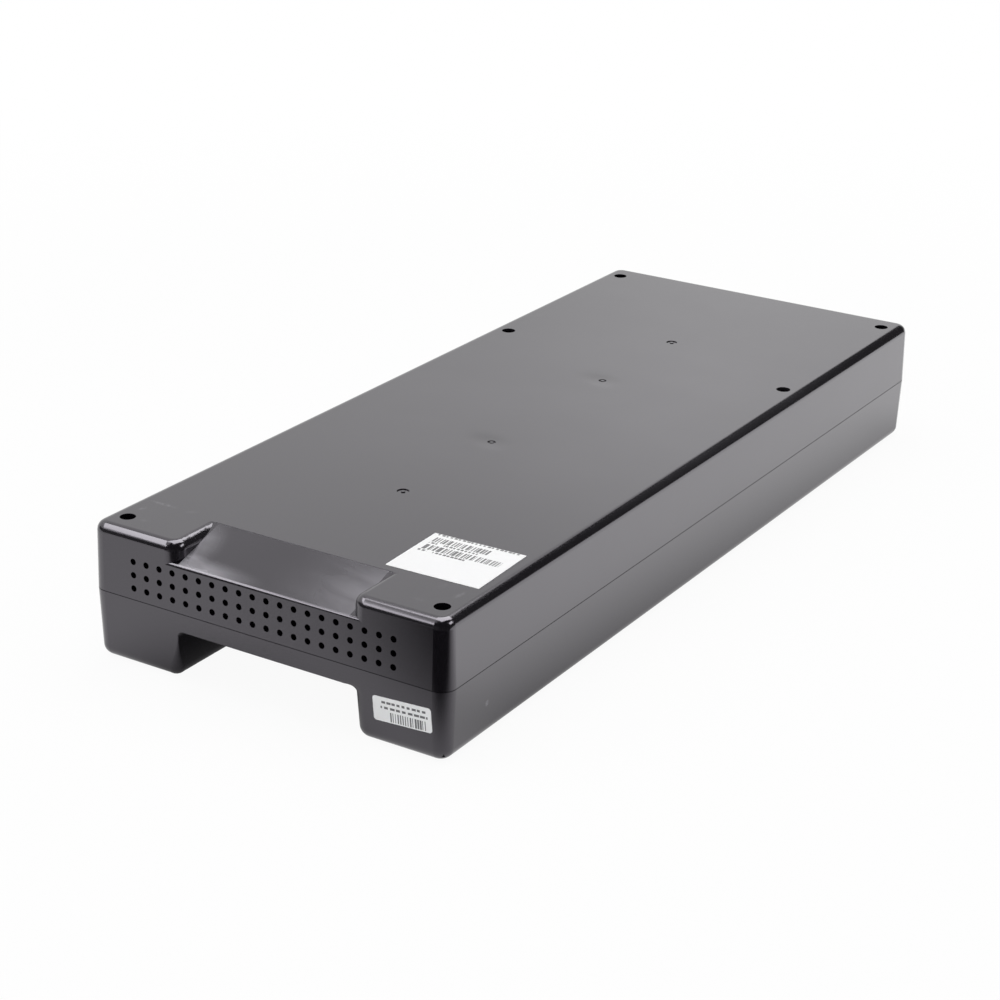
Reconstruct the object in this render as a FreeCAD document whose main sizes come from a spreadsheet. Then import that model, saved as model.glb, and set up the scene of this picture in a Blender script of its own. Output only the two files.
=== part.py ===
import FreeCAD, Part
import math
import os
import re

import Sketcher
from FreeCAD import Placement, Rotation, Vector

# UPS battery cartridge: a two-shell moulded case that holds four sealed lead-acid blocks,
# lying on their sides one behind the other, wired in series to a fuse and an output connector.
# Millimetres and degrees. Origin at the middle of the underside, +Z up, the vented front
# end faces -Y and the output connector faces +Y.

SHELL_SIZES = [
    ("case_length", 522.0),             # along Y, at the parting line
    ("case_width", 208.0),              # along X, at the parting line
    ("case_height", 72.0),
    ("parting_height", 36.5),           # where the cover meets the tray
    ("cover_draft", 1.2),               # the walls lean inwards going up
    ("tray_draft", 2.25),               # the walls lean inwards going down
    ("corner_radius", 8.0),             # upright corners of the case
    ("cover_edge_radius", 5.0),         # top edges
    ("tray_edge_radius", 6.0),          # bottom edges
    ("side_wall", 3.0),
    ("cover_skin", 2.5),                # thickness of the top
    ("tray_skin", 2.5),                 # thickness of the bottom and of the pocket's roof
    ("shadow_gap", 0.35),               # dark line between the shells: height and depth
    ("shadow_depth", 0.6),
    ("lap_height", 2.0),                # tongue of the tray inside the cover's wall
    ("lap_clearance", 0.1),
    ("block_joint_clearance", 0.3),     # between the blocks and the ribs that hold them
]

GRIP_SIZES = [
    ("recess_width", 99.0),             # thumb recess in the top of the front end
    ("recess_depth", 33.2),             # back from the front face
    ("recess_drop", 10.6),              # from the top down to the lip
    ("recess_corner_radius", 7.5),
    ("lip_radius", 1.75),
    ("pocket_width", 101.5),            # finger pocket between the two front feet
    ("pocket_depth", 60.0),
    ("pocket_height", 26.5),
    ("pocket_draft", 3.5),
    ("foot_corner_radius", 7.0),
    ("pocket_roof_radius", 3.5),
    ("beam_edge_radius", 0.6),          # lower front edge of the beam over the pocket
]

VENT_SIZES = [
    ("vent_columns", 20),
    ("vent_rows", 3),
    ("vent_pitch", 8.0),
    ("vent_row_pitch", 7.0),
    ("vent_diameter", 3.3),
    ("vent_grid_offset", -1.15),        # the grid sits a little left of the middle
    ("vent_grid_height", 49.7),         # middle of the grid
    ("vent_cut_depth", 7.0),
    ("gate_outer_span", 285.8),         # moulding gates along the middle of the top
    ("gate_outer_diameter", 6.4),
    ("gate_inner_span", 118.8),
    ("gate_inner_diameter", 4.5),
    ("gate_nub_diameter", 2.2),
    ("gate_depth", 0.5),
]

FASTENER_SIZES = [
    ("screw_side_inset", 12.3),         # screw axis in from the side
    ("front_screw_inset", 14.6),        # screw axis back from the front face
    ("middle_screw_station", 366.5),    # screw axis back from the front face
    ("rear_screw_inset", 17.6),         # screw axis in from the rear face
    ("well_diameter", 8.0),
    ("tube_diameter", 12.0),
    ("tube_floor", 3.0),                # what the screw head clamps
    ("joint_height", 41.5),             # where the cover's tubes meet the tray's posts
    ("screw_hole_diameter", 4.4),
    ("post_diameter", 9.0),
    ("pilot_diameter", 3.5),
    ("pilot_depth", 18.0),
    ("screw_clearance", 0.1),           # between the screw's core and its pilot hole
    ("screw_length", 18.0),             # under the head
    ("screw_head_diameter", 7.0),
    ("screw_head_height", 2.6),
    ("screw_slot_width", 1.1),
    ("screw_slot_depth", 1.4),
    ("gusset_thickness", 2.0),
    ("gusset_height", 20.0),
]

BLOCK_SIZES = [
    ("block_count", 4),
    ("side_bay", 28.5),                 # from the case's side to a block's side
    ("rear_bay", 39.1),                 # behind the last block and its wiring gap
    ("block_gap", 10.5),                # behind each block, for terminals and wiring
    ("base_pad_thickness", 0.8),
    ("top_pad_thickness", 1.2),
    ("pad_margin", 5.0),                # a pad is smaller than its block by this all round
    ("block_corner_radius", 2.0),
    ("lid_height", 12.0),
    ("lid_overhang", 0.5),
    ("valve_strip_length", 84.0),
    ("valve_strip_width", 18.0),
    ("valve_strip_height", 0.8),
    ("rib_thickness", 2.5),
    ("rib_height", 10.0),
    ("cross_rib_length", 90.0),
]

TERMINAL_SIZES = [
    ("tab_spread", 116.0),              # between the two terminals of a block
    ("tab_offset", 19.0),               # of the terminals from the middle of the lid
    ("tab_width", 6.35),
    ("tab_thickness", 0.8),
    ("tab_height", 6.0),                # above the lid
    ("tab_hole_diameter", 1.65),
    ("tab_well_side", 11.0),
    ("tab_well_depth", 2.0),
    ("sleeve_width", 8.4),              # insulated receptacle pushed over a tab
    ("sleeve_thickness", 4.0),
    ("sleeve_depth", 7.4),
    ("sleeve_slot_clearance", 0.1),
    ("barrel_diameter", 6.0),
    ("barrel_length", 8.0),
    ("cable_diameter", 4.2),
    ("cable_bend_radius", 6.0),
    ("corridor_offset", 6.0),           # cable axis out from the side of the blocks
    ("high_run_drop", 7.5),             # negative lead under the cover's skin
    ("clip_length", 8.0),
    ("clip_wall", 1.6),
    ("clip_clearance", 0.15),
]

OUTPUT_SIZES = [
    ("fuse_holder_length", 44.0),
    ("fuse_holder_width", 14.0),
    ("fuse_holder_height", 20.0),
    ("fuse_holder_offset", 45.0),       # middle of the holder from the case's middle
    ("fuse_holder_inset", 23.0),        # middle of the holder in from the rear face
    ("fuse_length", 19.0),
    ("fuse_width", 5.0),
    ("fuse_height", 12.0),
    ("fuse_proud", 4.0),                # head of the fuse above its holder
    ("fuse_clearance", 0.2),
    ("connector_width", 36.0),
    ("connector_height", 16.0),
    ("connector_length", 30.0),
    ("connector_recess", 0.5),          # mating face inside the rear face of the case
    ("connector_clearance", 0.3),
    ("flange_reach", 3.0),
    ("flange_thickness", 3.0),
    ("socket_side", 11.0),
    ("socket_depth", 20.0),
    ("socket_spread", 17.0),
    ("contact_thickness", 2.5),
    ("contact_height", 8.0),
    ("contact_length", 14.0),
    ("contact_barrel_diameter", 5.0),
    ("contact_barrel_length", 5.0),
    ("saddle_width", 24.0),
    ("saddle_thickness", 4.0),
    ("saddle_inset", 12.0),             # front of the saddle in from the rear face
    ("wiring_inset", 46.0),             # cables that cross behind the last block
]

LABEL_SIZES = [
    ("label_thickness", 0.2),
    ("top_label_length", 50.8),
    ("top_label_width", 44.4),
    ("top_label_inset", 34.9),          # middle of the label in from the case's right side
    ("top_label_station", 61.0),        # middle of the label back from the front face
    ("top_label_turn", 1.75),
    ("top_label_radius", 0.4),
    ("front_label_length", 32.2),
    ("front_label_width", 12.6),
    ("front_label_radius", 1.5),
    ("front_label_inset", 24.4),
    ("front_label_height", 20.2),
    ("front_label_turn", 3.4),
]

SHEET_SECTIONS = [SHELL_SIZES, GRIP_SIZES, VENT_SIZES, FASTENER_SIZES,
                  BLOCK_SIZES, TERMINAL_SIZES, OUTPUT_SIZES, LABEL_SIZES]

OVERLAP = 0.5       # how far one feature runs into the body that it joins
REACH = 6.0         # how far a cutting sketch runs past the body that it cuts
TOUCH = 1e-3        # two lengths this near are the same

doc = FreeCAD.newDocument("ups_battery_cartridge")
sheet = doc.addObject("Spreadsheet::Sheet", "sizes")
nodes = []


def fill_sheet():
    row = 0
    for section in SHEET_SECTIONS:
        for alias, value in section:
            row += 1
            sheet.set("A%d" % row, alias)
            sheet.set("B%d" % row, str(value))
            sheet.setAlias("B%d" % row, alias)
    doc.recompute()


def number(expression):
    """The value that an expression on the sheet has now."""
    value = sheet.evalExpression(expression)
    return float(getattr(value, "Value", value))


def bind(item, key, expression):
    """Ties a property to an expression, whose size names are looked up on the sheet."""
    def cell(match):
        return "sizes." + match.group() if match.group() in ALIASES else match.group()
    item.setExpression(key, re.sub(r"[a-z_]+", cell, expression))


# ---- places that several pieces share, as expressions on the sheet ----

ALIASES = {alias for section in SHEET_SECTIONS for alias, value in section}
HALF_WIDTH = "case_width / 2"
HALF_LENGTH = "case_length / 2"
FRONT = "-(%s)" % HALF_LENGTH
REAR = HALF_LENGTH
LIP_HEIGHT = "case_height - recess_drop"
POCKET_FOOT_GROWTH = "pocket_height * tan(pocket_draft)"
COVER_ROOF = "case_height - cover_skin"
BLOCK_START = "pocket_depth + %s + side_wall + block_joint_clearance" % POCKET_FOOT_GROWTH
BLOCK_HEIGHT = ("((case_length - (%s) - rear_bay - block_count * block_gap)"
                " / block_count)" % BLOCK_START)
BLOCK_WIDTH = "(case_width - 2 * side_bay)"
BLOCK_THICKNESS = "case_height - cover_skin - tray_skin - base_pad_thickness - top_pad_thickness"
BLOCK_PITCH = "(%s + block_gap)" % BLOCK_HEIGHT
BLOCK_BASE = "tray_skin + base_pad_thickness"
BLOCK_AXIS = "(%s + (%s) / 2)" % (BLOCK_BASE, BLOCK_THICKNESS)
SCREW_X = "(case_width / 2 - screw_side_inset)"
SCREW_STATIONS = ["-(case_length / 2) + front_screw_inset",
                  "-(case_length / 2) + middle_screw_station",
                  "case_length / 2 - rear_screw_inset"]
WELL_FLOOR = "joint_height + tube_floor"
HALF_HEAD = "screw_head_height / 2"
CONNECTOR_FACE = "(case_length / 2 - connector_recess)"
CONNECTOR_BOTTOM = "(parting_height - connector_height / 2)"
CABLE_END = "(%s - socket_depth - contact_barrel_length)" % CONNECTOR_FACE
CORRIDOR = "(%s / 2 + corridor_offset)" % BLOCK_WIDTH
HOLDER_Y = "(case_length / 2 - fuse_holder_inset)"
HOLDER_TOP = "(tray_skin + fuse_holder_height)"
HOLDER_AXIS = "(tray_skin + fuse_holder_height / 2)"


def wall_at(height, draft):
    """How far the outer wall has leaned in, at a height, from the parting line."""
    return "abs((%s) - parting_height) * tan(%s)" % (height, draft)


# just inside the tray's side wall, at the height of its floor
IN_SIDE_WALL = "(case_width / 2 - side_wall / 2 - %s)" % wall_at("0", "tray_draft")


# ---- sketches ----

def sketch_on(body, name, role, offset=None):
    plane = next(item for item in body.Origin.OriginFeatures if item.Role == role)
    sketch = body.newObject("Sketcher::SketchObject", name)
    sketch.AttachmentSupport = (plane, [""])
    sketch.MapMode = "FlatFace"
    if offset:
        bind(sketch, ".AttachmentOffset.Base.z", offset)
    return sketch


def dimension(sketch, kind, expression, *where):
    index = sketch.addConstraint(Sketcher.Constraint(kind, *where, number(expression)))
    bind(sketch, "Constraints[%d]" % index, expression)


def pin(sketch, piece, point, x, y):
    """Ties a point to the sketch's origin."""
    dimension(sketch, "DistanceX", x, -1, 1, piece, point)
    dimension(sketch, "DistanceY", y, -1, 1, piece, point)


def polygon(sketch, corners):
    points = [Vector(number(x), number(y), 0) for x, y in corners]
    sides = []
    for index, point in enumerate(points):
        after = points[(index + 1) % len(points)]
        sides.append(sketch.addGeometry(Part.LineSegment(point, after), False))
    for index, side in enumerate(sides):
        after = sides[(index + 1) % len(sides)]
        sketch.addConstraint(Sketcher.Constraint("Coincident", side, 2, after, 1))
    for side, (x, y) in zip(sides, corners):
        pin(sketch, side, 1, x, y)


def rectangle(sketch, left, right, bottom, top):
    polygon(sketch, [(left, bottom), (right, bottom), (right, top), (left, top)])


def rounded_rectangle(sketch, left, right, bottom, top, radius):
    """Four pinned arcs joined by four tangent lines."""
    size = number(radius)
    centres = [("(%s) - (%s)" % (right, radius), "(%s) - (%s)" % (top, radius)),
               ("(%s) + (%s)" % (left, radius), "(%s) - (%s)" % (top, radius)),
               ("(%s) + (%s)" % (left, radius), "(%s) + (%s)" % (bottom, radius)),
               ("(%s) - (%s)" % (right, radius), "(%s) + (%s)" % (bottom, radius))]
    quarter = math.pi / 2
    arcs = []
    for turn, (x, y) in enumerate(centres):
        circle = Part.Circle(Vector(number(x), number(y), 0), Vector(0, 0, 1), size)
        arc = Part.ArcOfCircle(circle, turn * quarter, (turn + 1) * quarter)
        arcs.append(sketch.addGeometry(arc, False))
    ends = [(sketch.Geometry[arc].StartPoint, sketch.Geometry[arc].EndPoint) for arc in arcs]
    for turn, arc in enumerate(arcs):
        after = (turn + 1) % len(arcs)
        line = sketch.addGeometry(Part.LineSegment(ends[turn][1], ends[after][0]), False)
        sketch.addConstraint(Sketcher.Constraint("Tangent", arc, 2, line, 1))
        sketch.addConstraint(Sketcher.Constraint("Tangent", line, 2, arcs[after], 1))
    for arc, (x, y) in zip(arcs, centres):
        pin(sketch, arc, 3, x, y)
        dimension(sketch, "Radius", radius, arc)


def centred_outline(sketch, half_width, half_length, radius):
    rounded_rectangle(sketch, "-(%s)" % half_width, half_width, "-(%s)" % half_length, half_length, radius)


def circle(sketch, x, y, diameter):
    shape = Part.Circle(Vector(number(x), number(y), 0), Vector(0, 0, 1), number(diameter) / 2)
    index = sketch.addGeometry(shape, False)
    pin(sketch, index, 3, x, y)
    dimension(sketch, "Diameter", diameter, index)


def at_screws(sketch, diameter):
    for y in SCREW_STATIONS:
        for side in ("", "-"):
            circle(sketch, side + SCREW_X, y, diameter)


# ---- features ----

def stop_if_failed(feature):
    failed = [state for state in feature.State if state in ("Invalid", "Error")]
    if failed or feature.Shape.isNull() or not feature.Shape.isValid():
        raise RuntimeError("%s failed: %s" % (feature.Name, feature.State))


def extrude(body, kind, name, profile, length, reverse=False, taper=None, middle=False):
    """A Pad or a Pocket, checked to have added or cut something."""
    before = body.Shape.Volume if body.Tip else 0.0
    feature = body.newObject("PartDesign::" + kind, name)
    feature.Profile = profile
    bind(feature, "Length", length)
    feature.Reversed = reverse
    if taper:
        bind(feature, "TaperAngle", taper)
    if middle:
        feature.SideType = "Symmetric"
    doc.recompute()
    stop_if_failed(feature)
    grown = feature.Shape.Volume - before
    if grown * (1 if kind == "Pad" else -1) <= 0:
        raise RuntimeError("%s changed nothing" % name)
    return feature


def edges_where(feature, test):
    """Names of the edges whose ends and middle all pass the test."""
    names = []
    for index, edge in enumerate(feature.Shape.Edges, 1):
        middle = edge.valueAt((edge.FirstParameter + edge.LastParameter) / 2)
        if all(test(point) for point in [vertex.Point for vertex in edge.Vertexes] + [middle]):
            names.append("Edge%d" % index)
    return names


def round_edges(body, name, feature, edges, radius):
    fillet = body.newObject("PartDesign::Fillet", name)
    fillet.Base = (feature, edges)
    bind(fillet, "Radius", radius)
    doc.recompute()
    stop_if_failed(fillet)
    return fillet


def repeat(body, name, feature, sketch, axis, length, count, across=None):
    """Repeats a feature along one sketch axis, or along both."""
    pattern = body.newObject("PartDesign::LinearPattern", name)
    pattern.Originals = [feature]
    pattern.Direction = (sketch, [axis])
    bind(pattern, "Length", length)
    bind(pattern, "Occurrences", count)
    if across:
        axis_across, length_across, count_across = across
        pattern.Direction2 = (sketch, [axis_across])
        bind(pattern, "Length2", length_across)
        bind(pattern, "Occurrences2", count_across)
    body.Tip = pattern
    doc.recompute()
    stop_if_failed(pattern)
    return pattern


def new_body(name):
    body = doc.addObject("PartDesign::Body", name)
    body.Label = name
    return body


def primitive(kind, name, sizes, place=None):
    """A Part primitive with its sizes and its place bound to the sheet."""
    item = doc.addObject("Part::" + kind, name)
    for key, expression in sizes.items():
        bind(item, key, expression)
    if place:
        put(item, *place)
    return item


def box(name, left, right, front, back, bottom, top):
    """A block given by its six faces."""
    return primitive("Box", name,
                     {"Length": "(%s) - (%s)" % (right, left), "Width": "(%s) - (%s)" % (back, front),
                      "Height": "(%s) - (%s)" % (top, bottom)},
                     (left, front, bottom))


def put(item, x, y, z):
    for axis, expression in zip("xyz", (x, y, z)):
        bind(item, "Placement.Base." + axis, expression)


def combine(kind, name, *items):
    joined = doc.addObject("Part::" + kind, name)
    if kind == "Cut":
        joined.Base, joined.Tool = items
    elif kind == "Compound":
        joined.Links = list(items)
    else:
        joined.Shapes = list(items)
    doc.recompute()
    stop_if_failed(joined)
    return joined


def keep(item, label):
    """Marks an object as a finished piece, whose label names its file."""
    item.Label = label
    nodes.append(item)


# ---- upper cover ----

def cover_outside(body):
    """Drafted shell with the thumb recess, its edges rounded all the way round the blocks."""
    sketch = sketch_on(body, "cover_outline", "XY_Plane", "parting_height")
    centred_outline(sketch, HALF_WIDTH, HALF_LENGTH, "corner_radius")
    rise = "case_height - parting_height"
    extrude(body, "Pad", "cover_block", sketch, rise, taper="-cover_draft")

    half_recess = "recess_width / 2"
    hidden_back = "%s + recess_depth + cover_edge_radius" % FRONT
    sketch = sketch_on(body, "recess_outline", "XY_Plane", "parting_height")
    rectangle(sketch, "-" + half_recess, half_recess, "%s - %s" % (FRONT, REACH), hidden_back)
    notch = extrude(body, "Pocket", "recess_notch", sketch, rise, reverse=True, taper="cover_draft")

    front, lean = number(FRONT), number(rise) * math.tan(math.radians(number("cover_draft")))
    half, top = number(half_recess), number("case_height")
    mouth = edges_where(notch, lambda point: abs(point.y - front) < lean + TOUCH
                        and abs(abs(point.x) - half) < lean + TOUCH)
    rounded = round_edges(body, "recess_corners", notch, mouth, "recess_corner_radius")
    rim = edges_where(rounded, lambda point: abs(point.z - top) < TOUCH)
    round_edges(body, "cover_edges", rounded, rim, "cover_edge_radius")


def recess_slope(body):
    """The plane that runs from the top down to the rounded lip on the front face."""
    sketch = sketch_on(body, "slope_profile", "YZ_Plane")
    foot = (FRONT, "parting_height")
    lip = ("%s + %s" % (FRONT, wall_at(LIP_HEIGHT, "cover_draft")), LIP_HEIGHT)
    crest = ("%s + recess_depth" % FRONT, "case_height")
    back = "%s + recess_depth + 2 * cover_edge_radius + %s" % (FRONT, OVERLAP)
    points = [Vector(number(y), number(z), 0) for y, z in
              (foot, lip, crest, (back, "case_height"), (back, "parting_height"))]
    up = (points[1] - points[0]).normalize()
    away = (points[2] - points[1]).normalize()
    half_angle = (math.pi - up.getAngle(away)) / 2
    reach = number("lip_radius") / math.tan(half_angle)
    start, end = points[1] - up * reach, points[1] + away * reach
    centre = points[1] + (away - up).normalize() * (number("lip_radius") / math.sin(half_angle))
    turns = [math.atan2(point.y - centre.y, point.x - centre.x) for point in (end, start)]
    face = sketch.addGeometry(Part.LineSegment(points[0], start), False)
    circle = Part.Circle(centre, Vector(0, 0, 1), number("lip_radius"))
    arc = sketch.addGeometry(Part.ArcOfCircle(circle, *turns), False)
    slope = sketch.addGeometry(Part.LineSegment(end, points[2]), False)
    flat = sketch.addGeometry(Part.LineSegment(points[2], points[3]), False)
    fall = sketch.addGeometry(Part.LineSegment(points[3], points[4]), False)
    base = sketch.addGeometry(Part.LineSegment(points[4], points[0]), False)
    corner = sketch.addGeometry(Part.Point(points[1]), True)
    sketch.addConstraint([
        Sketcher.Constraint("Tangent", face, 2, arc, 2),
        Sketcher.Constraint("Tangent", arc, 1, slope, 1),
        Sketcher.Constraint("Coincident", slope, 2, flat, 1),
        Sketcher.Constraint("Coincident", flat, 2, fall, 1),
        Sketcher.Constraint("Coincident", fall, 2, base, 1),
        Sketcher.Constraint("Coincident", base, 2, face, 1),
        Sketcher.Constraint("PointOnObject", corner, 1, face),
        Sketcher.Constraint("PointOnObject", corner, 1, slope)])
    dimension(sketch, "Radius", "lip_radius", arc)
    pin(sketch, corner, 1, *lip)
    pin(sketch, face, 1, *foot)
    pin(sketch, flat, 1, *crest)
    pin(sketch, fall, 1, back, "case_height")
    pin(sketch, base, 1, back, "parting_height")
    breadth = "recess_width + 2 * recess_corner_radius + 2 * cover_edge_radius"
    extrude(body, "Pad", "recess_slope", sketch, breadth, middle=True)


def cover_inside(body):
    """Hollows the cover, following the recess with a wall of even thickness."""
    step = "(%s - side_wall)" % LIP_HEIGHT
    inner_radius = "corner_radius - side_wall"
    half_width = "(%s - side_wall)" % HALF_WIDTH
    half_length = "(%s - side_wall)" % HALF_LENGTH
    sketch = sketch_on(body, "cover_cavity_outline", "XY_Plane", "parting_height")
    centred_outline(sketch, half_width, half_length, inner_radius)
    extrude(body, "Pocket", "cover_cavity", sketch, "%s - parting_height" % step,
            reverse=True, taper="-cover_draft")

    lean = "(%s)" % wall_at(step, "cover_draft")
    rise = "%s - %s" % (COVER_ROOF, step)
    left, right = "-(%s - %s)" % (half_width, lean), "%s - %s" % (half_width, lean)
    front, back = "-(%s - %s)" % (half_length, lean), "%s - %s" % (half_length, lean)
    behind = "%s + recess_depth + side_wall" % FRONT
    sketch = sketch_on(body, "roof_cavity_outline", "XY_Plane", step)
    rounded_rectangle(sketch, left, right, behind, back, inner_radius)
    extrude(body, "Pocket", "roof_cavity", sketch, rise, reverse=True, taper="-cover_draft")

    beside = "recess_width / 2 + side_wall"
    overlap = "%s + 2 * (%s)" % (behind, inner_radius)
    for name, near, far in (("right", beside, right), ("left", left, "-(%s)" % beside)):
        sketch = sketch_on(body, name + "_shoulder_outline", "XY_Plane", step)
        rounded_rectangle(sketch, near, far, front, overlap, inner_radius)
        extrude(body, "Pocket", name + "_shoulder", sketch, rise, reverse=True, taper="-cover_draft")

    run = "(recess_depth - %s)" % wall_at(LIP_HEIGHT, "cover_draft")
    drop_per_length = "(recess_drop / %s)" % run
    below = "(cover_skin * sqrt(1 + %s ^ 2))" % drop_per_length
    crest = "(%s + recess_depth)" % FRONT
    top_meets = "%s + (%s - cover_skin) / %s" % (crest, below, drop_per_length)
    wall_meets = "case_height - %s - (%s - (%s)) * %s" % (below, crest, front, drop_per_length)
    sketch = sketch_on(body, "slope_cavity_profile", "YZ_Plane")
    polygon(sketch, [(front, "%s - %s" % (step, OVERLAP)), (front, wall_meets),
                     (top_meets, COVER_ROOF), (overlap, COVER_ROOF),
                     (overlap, "%s - %s" % (step, OVERLAP))])
    extrude(body, "Pocket", "slope_cavity", sketch, "2 * (%s)" % beside, middle=True)


def cover_screw_tubes(body):
    sketch = sketch_on(body, "tube_outline", "XY_Plane", "joint_height")
    at_screws(sketch, "tube_diameter")
    extrude(body, "Pad", "screw_tubes", sketch, "%s - joint_height + %s" % (COVER_ROOF, OVERLAP))
    sketch = sketch_on(body, "well_outline", "XY_Plane", "case_height")
    at_screws(sketch, "well_diameter")
    extrude(body, "Pocket", "screw_wells", sketch, "case_height - (%s)" % WELL_FLOOR)
    sketch = sketch_on(body, "screw_hole_outline", "XY_Plane", WELL_FLOOR)
    at_screws(sketch, "screw_hole_diameter")
    extrude(body, "Pocket", "screw_holes", sketch, "tube_floor + %s" % OVERLAP)


def cover_vents(body):
    """Round vent holes, in rows, through the front wall."""
    sketch = sketch_on(body, "vent_outline", "XZ_Plane", "%s + %s" % (HALF_LENGTH, OVERLAP))
    first_x = "vent_grid_offset - (vent_columns - 1) * vent_pitch / 2"
    first_z = "vent_grid_height - (vent_rows - 1) * vent_row_pitch / 2"
    circle(sketch, first_x, first_z, "vent_diameter")
    vent = extrude(body, "Pocket", "vent", sketch, "vent_cut_depth")
    repeat(body, "vent_grid", vent, sketch, "H_Axis",
           "(vent_columns - 1) * vent_pitch", "vent_columns",
           ("V_Axis", "(vent_rows - 1) * vent_row_pitch", "vent_rows"))


def cover_gates(body):
    """Four shallow rings left by the mould's gates, each round a small nub."""
    sketch = sketch_on(body, "gate_outline", "XY_Plane", "case_height")
    for span, diameter in (("gate_outer_span", "gate_outer_diameter"),
                           ("gate_inner_span", "gate_inner_diameter")):
        for side in ("", "-"):
            centre_y = "%s%s / 2" % (side, span)
            for width in (diameter, "gate_nub_diameter"):
                ring = Part.Circle(Vector(0, number(centre_y), 0), Vector(0, 0, 1), number(width) / 2)
                index = sketch.addGeometry(ring, False)
                sketch.addConstraint(Sketcher.Constraint("PointOnObject", index, 3, -2))
                dimension(sketch, "DistanceY", centre_y, -1, 1, index, 3)
                dimension(sketch, "Diameter", width, index)
    extrude(body, "Pocket", "gate_marks", sketch, "gate_depth")


def cover_rim(body):
    """Rebate for the tray's tongue, and the shadow line outside it."""
    middle = "(side_wall / 2)"
    sketch = sketch_on(body, "rebate_outline", "XY_Plane", "parting_height")
    centred_outline(sketch, "(%s - %s)" % (HALF_WIDTH, middle), "(%s - %s)" % (HALF_LENGTH, middle),
                    "corner_radius - " + middle)
    extrude(body, "Pocket", "tongue_rebate", sketch, "lap_height + lap_clearance", reverse=True)
    sketch = sketch_on(body, "shadow_outline", "XY_Plane", "parting_height")
    centred_outline(sketch, "(%s - shadow_depth)" % HALF_WIDTH,
                    "(%s - shadow_depth)" % HALF_LENGTH, "corner_radius - shadow_depth")
    centred_outline(sketch, "(%s + %s)" % (HALF_WIDTH, REACH), "(%s + %s)" % (HALF_LENGTH, REACH),
                    "corner_radius")
    extrude(body, "Pocket", "shadow_line", sketch, "shadow_gap", reverse=True)


def connector_opening(body, name, bottom, top):
    """Cuts one shell's half of the opening in the rear wall."""
    inside = "(%s - 2 * side_wall)" % HALF_LENGTH
    half = "(connector_width / 2 + connector_clearance)"
    sketch = sketch_on(body, name + "_outline", "XZ_Plane", "-" + inside)
    rectangle(sketch, "-" + half, half, bottom, top)
    extrude(body, "Pocket", name, sketch, "2 * side_wall + %s" % OVERLAP)


def upper_cover():
    body = new_body("upper_cover")
    cover_outside(body)
    recess_slope(body)
    cover_inside(body)
    cover_screw_tubes(body)
    cover_rim(body)
    connector_opening(body, "cover_opening", "parting_height - %s" % OVERLAP,
                      "parting_height + connector_height / 2 + connector_clearance")
    cover_gates(body)
    cover_vents(body)
    keep(body, "upper_cover")


# ---- lower tray ----

def on_front_face(point):
    """True on the drafted front face of the tray."""
    lean = (number("parting_height") - point.z) * math.tan(math.radians(number("tray_draft")))
    return abs(point.y - number(FRONT) - lean) < 10 * TOUCH


def tray_block():
    """Drafted shell with the finger pocket cut up into its front end."""
    body = new_body("tray_block")
    sketch = sketch_on(body, "tray_outline", "XY_Plane", "parting_height")
    centred_outline(sketch, HALF_WIDTH, HALF_LENGTH, "corner_radius")
    extrude(body, "Pad", "tray_pad", sketch, "parting_height", reverse=True, taper="-tray_draft")
    half_pocket = "pocket_width / 2"
    sketch = sketch_on(body, "pocket_outline", "XY_Plane", "pocket_height")
    rectangle(sketch, "-" + half_pocket, half_pocket, "%s - %s" % (FRONT, REACH),
              "%s + pocket_depth" % FRONT)
    pocket = extrude(body, "Pocket", "finger_pocket", sketch, "pocket_height",
                     taper="pocket_draft")
    half, roof = number(half_pocket), number("pocket_height")
    sides = edges_where(pocket, lambda point: abs(point.z - roof) < TOUCH
                        and abs(abs(point.x) - half) < TOUCH)
    return round_edges(body, "pocket_roof_corners", pocket, sides, "pocket_roof_radius")


def foot_corners(block):
    """Rounds the pocket's mouth: wide down the feet, running out to nearly sharp on the beam."""
    fillet = doc.addObject("Part::Fillet", "foot_corners")
    fillet.Base = block
    wide, narrow = number("foot_corner_radius"), number("beam_edge_radius")
    growth = number(POCKET_FOOT_GROWTH)
    limit, roof = number("pocket_width") / 2 + growth + TOUCH, number("pocket_height")
    chosen = []
    for index, edge in enumerate(block.Shape.Edges, 1):
        ends = [vertex.Point for vertex in edge.Vertexes]
        if not all(on_front_face(end) and abs(end.x) < limit and end.z < roof + TOUCH for end in ends):
            continue
        radii = [narrow if end.z > roof - TOUCH else wide for end in ends]
        chosen.append((index, radii[0], radii[1]))
    fillet.Edges = chosen
    doc.recompute()
    stop_if_failed(fillet)
    return fillet


def tray_outside(body):
    """Rounds every bottom edge, round the feet and the pocket too."""
    rim = edges_where(body.Tip, lambda point: abs(point.z) < TOUCH)
    round_edges(body, "tray_edges", body.Tip, rim, "tray_edge_radius")


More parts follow.
